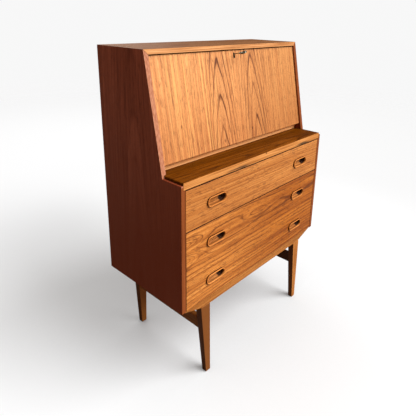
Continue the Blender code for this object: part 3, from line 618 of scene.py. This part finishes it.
def flap_teak():
    """The flap: two stacks of pointed arches side by side, a few knots, and pale streaks at the left."""
    colors = WOODS["flap"]
    spots = ((0.856, -0.283, 0.010), (0.793, 0.058, 0.009), (0.776, -0.096, 0.010))
    paint = (
        knots("Z", "X", spots, colors[3]),
        # painted shade: the flap darker towards its right and its foot
        tinge("X", -0.16, 0.34, (0.87, 0.87, 0.78)),
        tinge("Z", 0.98, 0.76, (0.84, 0.77, 0.71)),
        bright_streaks("ZY", "X", -0.22, 0.13, PALE_STREAK),
    )
    return wood(
        "teak_flap", colors, "Z", "X", flat="Y", seed=1.0, centre=-0.004, fold=0.089, point=0.012,
        start=1.048, radius=0.112, taper=0.070, lean=0.02, waves=(2.6, 7.0, 0.007, 0.0024), ring=0.0078,
        line=1.00, width=0.10, flank=0.15, banding=0.10, streak=150.0, contrast=1.45, veins=0.30,
        fleck_share=0.40, paint=paint,
    )


def side_teak(name, colors, centre, seed, strip):
    """A side: nearly plain, darker towards its foot as painted shade, with its own strip on the front edges."""
    # painted shade: darker towards the foot
    shaded_foot = shade("Z", 1.00, 0.40, 0.92, (0.19, 0.029, 0.006))
    return wood(
        name, colors, "Z", "Y", seed=seed, centre=centre, waves=(1.4, 6.0, 0.020, 0.010),
        contrast=0.9, veins=0.06, specular=0.10, paint=(shaded_foot, strip), **SIDE_CUT,
    )


def case_materials():
    """Sides, bottom and top of the carcass."""
    left_strip = lipping(PINK_STRIP, "Z", RED_STRIP, SLIDE_LOW.z + 0.012)
    return {
        "left_side": side_teak("teak_left_side", WOODS["side"], 0.02, 5.0, left_strip),
        "right_side": side_teak("teak_right_side", WOODS["right"], -0.02, 6.0, lipping(RED_STRIP, "Z")),
        "bottom": wood(
            "teak_bottom", WOODS["side"], "X", "Y", seed=9.0, centre=0.02, specular=0.22, **SIDE_CUT,
        ),
        "top": wood(
            "teak_top", WOODS["top"], "X", "Y", seed=7.0, centre=0.05, start=0.5, radius=0.100, taper=0.030,
            waves=(1.6, 7.0, 0.020, 0.010), ring=0.007, line=0.5, specular=0.14,
            paint=(lipping(TOP_STRIP, "X"),),
        ),
    }


def slide_materials():
    """The slide, its lip stained and worn, and the desk board behind it."""
    waves = (1.6, 7.0, 0.015, 0.010)
    lip_knot = knots("X", "Z", ((0.012, SLIDE_HIGH.z - 0.003, 0.009),), KNOT_BROWN)
    lip_wear = wear("X", ((-0.137, 0.070, 0.714), (0.255, 0.060, 0.713)), WORN_BROWN)
    return {
        "slide": wood(
            "teak_slide", WOODS["slide"], "X", "Y", seed=11.0, waves=waves, specular=0.02,
            paint=(lipping(PALE_STRIP, "X"), lip_wear, lip_knot), **SLIDE_CUT,
        ),
        "desk": wood(
            "teak_desk_board", WOODS["slide"], "X", "Y", seed=12.0, waves=waves, specular=0.10,
            # painted light on the strip that the flap shades
            paint=(lipping(GOLD_STRIP_PAINTED_LIGHT, "X"),), **SLIDE_CUT,
        ),
    }


def solid_materials():
    """Solid teak of the base and the pulls."""
    solid = WOODS["solid"]
    leg_paint = (
        shade("X", 0.10, -0.25, 0.95, (0.18, 0.057, 0.012)),
        # painted light: lighter towards the back, on the rear legs in the cabinet's shade
        shade("Y", 0.00, 0.10, 0.70, (0.42, 0.150, 0.034)),
        # painted shade on the faces turned to the sides
        shaded_flanks(0.85, (0.08, 0.021, 0.004)),
    )
    stretcher_paint = (
        # painted shade: on the side faces, and on the right stretcher under the cabinet
        shaded_flanks(0.7, (0.12, 0.036, 0.008)),
        shade("X", 0.0, 0.25, 0.85, (0.045, 0.011, 0.002)),
    )
    return {
        "leg": wood(
            "teak_upright", solid, "Z", "X", seed=13.0, centre=0.1, line=0.35, specular=0.12,
            paint=leg_paint, **SOLID_CUT,
        ),
        "rail": wood(
            "teak_rail", solid, "X", "Z", seed=17.0, centre=0.20, line=0.35, specular=0.12, **SOLID_CUT,
        ),
        "stretcher": wood(
            "teak_stretcher", solid, "Y", "Z", seed=19.0, centre=0.1, line=0.35, specular=0.12,
            paint=stretcher_paint, **SOLID_CUT,
        ),
        "pull": wood(
            "teak_pull", WOODS["pull"], "X", "Z", seed=23.0, centre=0.3, line=0.30, specular=0.08,
            paint=(pocket_shade_and_grime(PULL_OUT),), **SOLID_CUT,
        ),
    }


def build_materials():
    return {
        "upper_front": upper_front_teak(),
        "small_front": small_front_teak(),
        "lower_front": lower_front_teak(),
        "flap": flap_teak(),
        **case_materials(),
        **slide_materials(),
        **solid_materials(),
        "beech_side": plain_wood("beech_lengthwise", BEECH, "Y"),
        "beech_cross": plain_wood("beech_crosswise", BEECH, "X", seed=3.0),
        "plywood": plain_wood("birch_plywood", ((0.60, 0.42, 0.25), (0.46, 0.29, 0.15)), "X", 0.4, 5.0),
        "back": plain_wood("stained_back", ((0.34, 0.17, 0.085), (0.22, 0.100, 0.045)), "Z", 0.5, 7.0),
        "brass": metal("aged_brass", (0.56, 0.40, 0.17), (0.20, 0.14, 0.06), 0.32),
        "bronze": metal("dark_bronze", (0.10, 0.070, 0.040), (0.035, 0.024, 0.015), 0.40),
        "steel": metal("dull_nickel", (0.34, 0.34, 0.27), (0.10, 0.10, 0.075), 0.30),
    }


def floor_glow(graph, distance):
    """How strongly the floor shines of itself: less near the cabinet and behind it as painted shade, and less far
    away.
    """
    open_sky = graph.node("AmbientOcclusion", {"Distance": FLOOR_REACH}).outputs["AO"]
    strength = graph.math("MULTIPLY", open_sky, FLOOR_GLOW)
    places = graph.split(graph.place)
    shade_x, shade_y, reach, depth = FLOOR_SHADE
    away = graph.squares(graph.off(places["X"], shade_x, reach), graph.off(places["Y"], shade_y, reach))
    strength = graph.math("MULTIPLY_ADD", graph.bell(away), -depth, strength)
    near, far, loss = FLOOR_DIM
    dimmed = graph.remap(distance, near, far, 0.0, loss, smooth=True)
    return graph.math("MAXIMUM", graph.math("SUBTRACT", strength, dimmed), 0.0)


def floor_material():
    """A pale floor that fades into the background, with grey shadows as bright as a studio sweep has."""
    graph = Graph("pale_floor")
    distance = graph.node("VectorMath", {0: graph.place}, operation="LENGTH").outputs["Value"]
    glow = {"Color": (1, 1, 1, 1), "Strength": floor_glow(graph, distance)}
    glow = graph.node("Emission", glow).outputs[0]
    seen = graph.node("BsdfDiffuse", {"Color": FLOOR_SEEN}).outputs[0]
    seen = graph.node("AddShader", {0: seen, 1: glow}).outputs[0]
    bounce = graph.node("BsdfDiffuse", {"Color": FLOOR_BOUNCE}).outputs[0]
    camera_ray = graph.node("LightPath", {}).outputs["Is Camera Ray"]
    lit = graph.node("MixShader", {0: camera_ray, 1: bounce, 2: seen}).outputs[0]
    clear = graph.node("BsdfTransparent", {}).outputs[0]
    fade = graph.remap(distance, *FLOOR_FADE, smooth=True)
    mixed = graph.node("MixShader", {0: fade, 1: lit, 2: clear}).outputs[0]
    graph.tree.nodes.remove(graph.shader)
    graph.put(graph.tree.nodes["Material Output"].inputs["Surface"], mixed)
    return graph.material


# ---------------------------------------------------------------- modelling

BEVEL_ANGLE = math.radians(30.0)  # edges sharper than this are rounded
TURNED_STEPS = 24


def new_object(name, bm, material, smooth=True):
    mesh = bpy.data.meshes.new(name)
    bmesh.ops.recalc_face_normals(bm, faces=bm.faces)
    bm.to_mesh(mesh)
    bm.free()
    if smooth:
        mesh.shade_smooth()
    obj = bpy.data.objects.new(name, mesh)
    bpy.context.scene.collection.objects.link(obj)
    mesh.materials.append(material)
    return obj


def skin(bm, loops, closed=False):
    """Faces between closed loops of points; the ends are filled, or joined to each other if closed."""
    rings = [[bm.verts.new(point) for point in loop] for loop in loops]
    pairs = list(zip(rings, rings[1:]))
    if closed:
        pairs.append((rings[-1], rings[0]))
    for near, far in pairs:
        for i in range(len(near)):
            j = (i + 1) % len(near)
            bm.faces.new((near[i], near[j], far[j], far[i]))
    if not closed:
        bm.faces.new(rings[0])
        bm.faces.new(rings[-1])


def lathe(bm, profile):
    """A turned shape about Y; profile holds radius and place along Y."""
    angles = [2 * math.pi * i / TURNED_STEPS for i in range(TURNED_STEPS)]
    loops = []
    for radius, along in profile:
        loops.append([(radius * math.cos(a), along, radius * math.sin(a)) for a in angles])
    skin(bm, loops)


def soften(obj, width):
    """Round the sharp edges of a flat-faced piece, after joining the corners of its faces."""
    weld = obj.modifiers.new("Weld", "WELD")
    weld.merge_threshold = 0.00001
    bevel = obj.modifiers.new("Bevel", "BEVEL")
    bevel.width = width
    bevel.segments = 2
    bevel.limit_method = "ANGLE"
    bevel.angle_limit = BEVEL_ANGLE
    bevel.use_clamp_overlap = True


def stand_for(obj, node, body):
    """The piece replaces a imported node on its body."""
    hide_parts(node)
    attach(obj, body)


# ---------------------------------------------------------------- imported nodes

NODE_LOOKS = (
    # start of the node's name, material, width of its rounded edges
    ("left_side", "left_side", 0.0010),
    ("right_side", "right_side", 0.0010),
    ("bottom_panel", "bottom", 0.0006),
    ("top_panel", "top", 0.0010),
    ("desk_board", "desk", 0.0008),
    ("slide_board", "slide", 0.0022),
    ("gallery_shelf", "slide", 0.0006),
    ("gallery_divider", "leg", 0.0006),
    ("flap_panel", "flap", 0.0009),
    ("flap_stop", "rail", 0.0006),
    ("front_apron", "rail", 0.0012),
    ("rear_apron", "rail", 0.0012),
    ("side_stretcher", "stretcher", 0.0015),
    ("front_leg", "leg", 0.0015),
    ("rear_leg", "leg", 0.0015),
    ("back_panel", "back", 0.0004),
    ("keyhole", "bronze", 0.0002),
    ("lock_case", "bronze", 0.0003),
    ("strike", "bronze", 0.0001),
    ("left_hinge", "brass", 0.0001),
    ("right_hinge", "brass", 0.0001),
    ("lock_bolt", "steel", 0.0003),
    ("upper_drawer_front", "upper_front", 0.0014),
    ("lower_drawer_front", "lower_front", 0.0014),
    ("small_drawer_left_front", "small_front", 0.0005),
    ("small_drawer_right_front", "small_front", 0.0005),
    ("upper_drawer_bottom", "plywood", 0.0003),
    ("lower_drawer_bottom", "plywood", 0.0003),
    ("upper_drawer_back", "beech_cross", 0.0006),
    ("lower_drawer_back", "beech_cross", 0.0006),
    ("", "beech_side", 0.0006),
)


def finish_nodes(materials):
    """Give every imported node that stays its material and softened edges."""
    for name, obj in nodes.items():
        if obj.hide_render:
            continue
        kind, width = next((kind, width) for start, kind, width in NODE_LOOKS if name.startswith(start))
        obj.material_slots[0].material = materials[kind]
        soften(obj, width)


# ---------------------------------------------------------------- pulls

RIM_CREST = 0.0016  # radius of the rim's rounded crest
RIM_WIDTH = 0.0046  # from the outline to the mouth of the finger pocket
RIM_FOOT = 0.0026  # from the crest back to the foot of its rounding
POCKET_WALL = 0.006  # depth of the pocket's upright wall
POCKET_FLOOR = 0.0062  # how much deeper its rounded floor lies
POCKET_ROUND = 0.0036  # how far the rounding reaches in
RIM_STEPS = 9
POCKET_STEPS = 6
OVAL_STEPS = 20


def oval_loop(centre, length, height, depth):
    """A long outline with half-round ends, upright at one depth behind the front plane."""
    radius = height / 2
    reach = length / 2 - radius
    points = []
    for end, turn in ((1, 0.0), (-1, math.pi)):
        for i in range(OVAL_STEPS + 1):
            angle = -math.pi / 2 + math.pi * i / OVAL_STEPS + turn
            x = centre[0] + end * reach + radius * math.cos(angle)
            z = centre[1] + radius * math.sin(angle)
            points.append((x, FRONT_Y + depth, z))
    return points


def pull_profile(length_back, proud):
    """Inset from the outline and depth behind the front plane, from the seat over the rim to the pocket."""
    points = [(0.0, length_back), (0.0, RIM_FOOT - proud), (0.0002, 0.0018 - proud)]
    for i in range(1, RIM_STEPS):
        angle = math.pi * i / RIM_STEPS
        points.append((RIM_CREST * (1 - math.cos(angle)), RIM_CREST * (1 - math.sin(angle)) - proud))
    mouth = RIM_WIDTH + 0.0006
    points += [(RIM_WIDTH - 0.0008, RIM_FOOT - proud), (RIM_WIDTH + 0.0002, 0.0), (mouth, POCKET_WALL)]
    for i in range(1, POCKET_STEPS + 1):
        angle = math.pi / 2 * i / POCKET_STEPS
        deeper = POCKET_FLOOR * (1 - math.cos(angle)) ** 0.6
        points.append((mouth + POCKET_ROUND * math.sin(angle), POCKET_WALL + deeper))
    return points


def build_pulls(materials):
    """The oval pulls: a raised rim round a finger pocket, each one turned from solid teak."""
    for name, body in PULLS:
        low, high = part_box(name)
        centre = ((low.x + high.x) / 2, (low.z + high.z) / 2)
        length, height = high.x - low.x, high.z - low.z
        loops = []
        for inset, depth in pull_profile(high.y - FRONT_Y, FRONT_Y - low.y):
            loops.append(oval_loop(centre, length - 2 * inset, height - 2 * inset, depth))
        bm = bmesh.new()
        skin(bm, loops)
        pull = new_object(name + "_turned", bm, materials["pull"])
        stand_for(pull, name, body)


# ---------------------------------------------------------------- key

BOW_RADIUS = 0.0098  # to the middle of the bow's wire
BOW_WIRE = 0.0017  # radius of its wire in the plane of the bow
WIRE_DEPTH = 1.35  # how much deeper the wire is across that plane
BOW_STEPS = 40
WIRE_STEPS = 14
BOW_TILT = math.radians(-20.0)  # the bow is off level at rest
# The shaft: radius and place. The neck has two collars and is placed from the bow, the tip from the keyhole
KEY_NECK = (
    (0.0006, -0.001), (0.0021, 0.0), (0.0029, 0.0012), (0.0029, 0.0024), (0.0019, 0.0034),
    (0.0019, 0.0046), (0.0030, 0.0054), (0.0030, 0.0072), (0.0018, 0.0080),
)
KEY_TIP = ((0.0018, 0.0115), (0.0012, 0.0119))
# The bit with its notch: place across the shaft and along it
KEY_BIT = (
    (0.001, 0.0082), (0.0058, 0.0082), (0.0058, 0.0094), (0.0046, 0.0094),
    (0.0046, 0.0102), (0.0058, 0.0102), (0.0058, 0.0112), (0.001, 0.0112),
)
BIT_HALF = 0.0009


def flap_frame(origin):
    """A matrix whose X is the desk's, whose Z runs up the flap and whose -Y points out of its face."""
    columns = (Vector((1.0, 0.0, 0.0)), -FLAP_OUT, FLAP_UP)
    turn = Matrix([[column[row] for column in columns] for row in range(3)]).to_4x4()
    return Matrix.Translation(origin) @ turn


def bow_loops(place):
    """Loops round the wire of the bow, a ring in the XY plane about a place on the shaft's axis."""
    loops = []
    for i in range(BOW_STEPS):
        angle = 2 * math.pi * i / BOW_STEPS
        outward = Vector((math.cos(angle), math.sin(angle), 0.0))
        middle = Vector((0.0, place, 0.0)) + BOW_RADIUS * outward
        turns = [2 * math.pi * k / WIRE_STEPS for k in range(WIRE_STEPS)]
        upright = Vector((0.0, 0.0, WIRE_DEPTH * BOW_WIRE))
        loops.append([middle + outward * BOW_WIRE * math.cos(t) + upright * math.sin(t) for t in turns])
    return loops


def build_key(materials):
    """The key: a round bow, a shaft with two collars and a small bit."""
    reach = (KEYHOLE.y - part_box("key")[0].y) / -FLAP_OUT.y
    bow = BOW_RADIUS + BOW_WIRE - reach
    shaft = bow + BOW_RADIUS
    bm = bmesh.new()
    lathe(bm, [(radius, shaft + place) for radius, place in KEY_NECK] + list(KEY_TIP))
    skin(bm, bow_loops(bow), closed=True)
    skin(bm, [[(x, y, z) for x, y in KEY_BIT] for z in (-BIT_HALF, BIT_HALF)])
    key = new_object("key_forged", bm, materials["steel"])
    key.data.set_sharp_from_angle(angle=math.radians(40))
    key.data.transform(flap_frame(KEYHOLE) @ Matrix.Rotation(BOW_TILT, 4, "Y"))
    stand_for(key, "key", "key")


# ---------------------------------------------------------------- screws

HINGE_SCREW = 0.0028  # radii of the heads
LOCK_SCREW = 0.0022
STRIKE_SCREW = 0.0019
BACK_SCREW = 0.0032
# On a hinge leaf: place across it as a share of its half width, and distance from the pin
HINGE_SPOTS = ((-0.70, 0.0140), (0.0, 0.0165), (0.70, 0.0140))
BACK_INSET = 0.010
HEAD_RISE = 0.00025
HEAD_SUNK = 0.0012
SLOT_FLOOR = -0.0004
SLOT_SHARE = 0.14  # half the slot's width, as a share of the head's radius
HEAD_STEPS = 14  # steps of each half round


def screw_head(bm, matrix, radius, slot_turn):
    """A countersunk head with a slot, its face a little proud of the matrix's XY plane."""
    turned = matrix @ Matrix.Rotation(slot_turn, 4, "Z")
    slot = radius * SLOT_SHARE
    reach = math.asin(SLOT_SHARE)
    for side in (0.0, math.pi):
        angles = [side + reach + (math.pi - 2 * reach) * i / HEAD_STEPS for i in range(HEAD_STEPS + 1)]
        loops = []
        for scale, height in ((0.80, -HEAD_SUNK), (1.0, 0.0), (1.0, HEAD_RISE * 0.6), (0.86, HEAD_RISE)):
            loop = []
            for angle in angles:
                x, y = math.cos(angle) * radius * scale, math.sin(angle) * radius * scale
                loop.append(turned @ Vector((x, math.copysign(max(abs(y), slot), y), height)))
            loops.append(loop)
        skin(bm, loops)
    disc = [2 * math.pi * i / TURNED_STEPS for i in range(TURNED_STEPS)]
    inner = 0.9 * radius
    loops = []
    for height in (-HEAD_SUNK, SLOT_FLOOR):
        loops.append([turned @ Vector((inner * math.cos(a), inner * math.sin(a), height)) for a in disc])
    skin(bm, loops)


def build_screws(name, places, radius, material, body):
    """One piece with a screw head at each place, their slots all turned differently."""
    bm = bmesh.new()
    for i, matrix in enumerate(places):
        screw_head(bm, matrix, radius, 0.7 + 1.9 * i)
    obj = new_object(name, bm, material, smooth=False)
    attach(obj, body)


def on_face(point, normal):
    """A matrix at a point whose Z is the outward normal."""
    return Matrix.Translation(point) @ Vector(normal).to_track_quat("Z", "Y").to_matrix().to_4x4()


def inside_flap(x, out):
    """A matrix on the inner face of the closed flap, out metres up from the hinge."""
    return on_face(HINGE + Vector((x, 0, 0)) + FLAP_UP * out, -FLAP_OUT)


def build_hinge_screws(materials):
    """Three in each leaf, the middle one further from the pin."""
    for side in ("left", "right"):
        low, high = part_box(side + "_hinge_desk_leaf")
        middle = (low.x + high.x) / 2
        half = (high.x - low.x) / 2
        spots = [(middle + half * share, out) for share, out in HINGE_SPOTS]
        desk = [on_face((x, HINGE.y + out, HINGE.z), (0, 0, 1)) for x, out in spots]
        name = side + "_hinge_desk_screws"
        build_screws(name, desk, HINGE_SCREW, materials["brass"], "cabinet")
        flap = [inside_flap(x, out) for x, out in spots]
        name = side + "_hinge_flap_screws"
        build_screws(name, flap, HINGE_SCREW, materials["brass"], "flap")


def build_lock_screws(materials):
    """Four at the corners of the lock case, and two in the strike plate."""
    low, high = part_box("lock_case")
    top = (high.z - HINGE.z) / FLAP_UP.z
    corners = [(x, out) for x in (low.x + 0.005, high.x - 0.005) for out in (top - 0.030, top - 0.006)]
    lock = [inside_flap(x, out) for x, out in corners]
    build_screws("lock_case_screws", lock, LOCK_SCREW, materials["steel"], "flap")
    low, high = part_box("strike_plate")
    middle = (low.y + high.y) / 2
    strike = [on_face((x, middle, low.z), (0, 0, -1)) for x in (low.x + 0.0038, high.x - 0.0038)]
    build_screws("strike_plate_screws", strike, STRIKE_SCREW, materials["steel"], "cabinet")


def build_back_screws(materials):
    """A row all round the back panel."""
    low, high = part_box("back_panel")
    width = high.x - low.x - 2 * BACK_INSET
    height = high.z - low.z - 2 * BACK_INSET
    across = [low.x + BACK_INSET + width * i / 5 for i in range(6)]
    up = [low.z + BACK_INSET + height * i / 6 for i in range(7)]
    places = [(x, z) for z in (up[0], up[-1]) for x in across]
    places += [(x, z) for x in (across[0], across[-1]) for z in up[1:-1]]
    back = [on_face((x, high.y, z), (0, 1, 0)) for x, z in places]
    build_screws("back_panel_screws", back, BACK_SCREW, materials["brass"], "cabinet")


# ---------------------------------------------------------------- stage


def build_floor():
    bm = bmesh.new()
    bmesh.ops.create_circle(bm, cap_ends=True, radius=FLOOR_RADIUS, segments=96)
    floor = new_object("floor", bm, floor_material(), smooth=False)


def build_sun():
    data = bpy.data.lights.new("key", "SUN")
    data.energy = SUN_STRENGTH
    data.angle = math.radians(SUN_SPREAD)
    data.color = SUN_COLOR
    sun = bpy.data.objects.new("key", data)
    sun.rotation_euler = (math.radians(90.0 - SUN_ELEVATION), 0.0, math.radians(SUN_AZIMUTH))
    bpy.context.scene.collection.objects.link(sun)


def build_lamp():
    data = bpy.data.lights.new("back", "AREA")
    data.size = LAMP_SIZE
    data.energy = LAMP_POWER
    lamp = bpy.data.objects.new("back", data)
    lamp.location = LAMP_PLACE
    lamp.rotation_euler = (Vector(LAMP_TARGET) - Vector(LAMP_PLACE)).to_track_quat("-Z", "Y").to_euler()
    bpy.context.scene.collection.objects.link(lamp)


def build_world():
    """A bright background for the camera, and a weaker warm light from all round for the desk."""
    world = bpy.data.worlds.new("studio")
    world.use_nodes = True
    tree = world.node_tree
    background = tree.nodes["Background"]
    camera_ray = tree.nodes.new("ShaderNodeLightPath").outputs["Is Camera Ray"]
    strength = tree.nodes.new("ShaderNodeMapRange")
    strength.inputs["To Min"].default_value = AMBIENT
    strength.inputs["To Max"].default_value = BACKGROUND
    tree.links.new(camera_ray, strength.inputs["Value"])
    tree.links.new(strength.outputs["Result"], background.inputs["Strength"])
    tint = tree.nodes.new("ShaderNodeMix")
    tint.data_type = "RGBA"
    tint.inputs[6].default_value = AMBIENT_COLOR
    tint.inputs[7].default_value = (1, 1, 1, 1)
    tree.links.new(camera_ray, tint.inputs[0])
    tree.links.new(tint.outputs[2], background.inputs["Color"])
    bpy.context.scene.world = world


def build_camera():
    data = bpy.data.cameras.new("camera")
    data.sensor_width = 36.0
    data.lens = CAMERA_LENS
    data.shift_x, data.shift_y = CAMERA_SHIFT
    data.clip_start = 0.05
    data.clip_end = 60.0
    camera = bpy.data.objects.new("camera", data)
    turn = Matrix.Rotation(math.radians(CAMERA_TURN), 4, "Z")
    tilt = Matrix.Rotation(math.radians(CAMERA_TILT), 4, "X")
    roll = Matrix.Rotation(math.radians(CAMERA_ROLL), 4, "Z")
    camera.matrix_world = Matrix.Translation(CAMERA_PLACE) @ turn @ tilt @ roll
    bpy.context.scene.collection.objects.link(camera)
    bpy.context.scene.camera = camera


def build_scene():
    scene = bpy.context.scene
    scene.view_settings.view_transform = "Standard"
    scene.view_settings.look = "None"
    build_camera()
    build_floor()
    build_sun()
    build_lamp()
    build_world()
    materials = build_materials()
    build_pulls(materials)
    build_key(materials)
    build_hinge_screws(materials)
    build_lock_screws(materials)
    build_back_screws(materials)
    finish_nodes(materials)


build_scene()
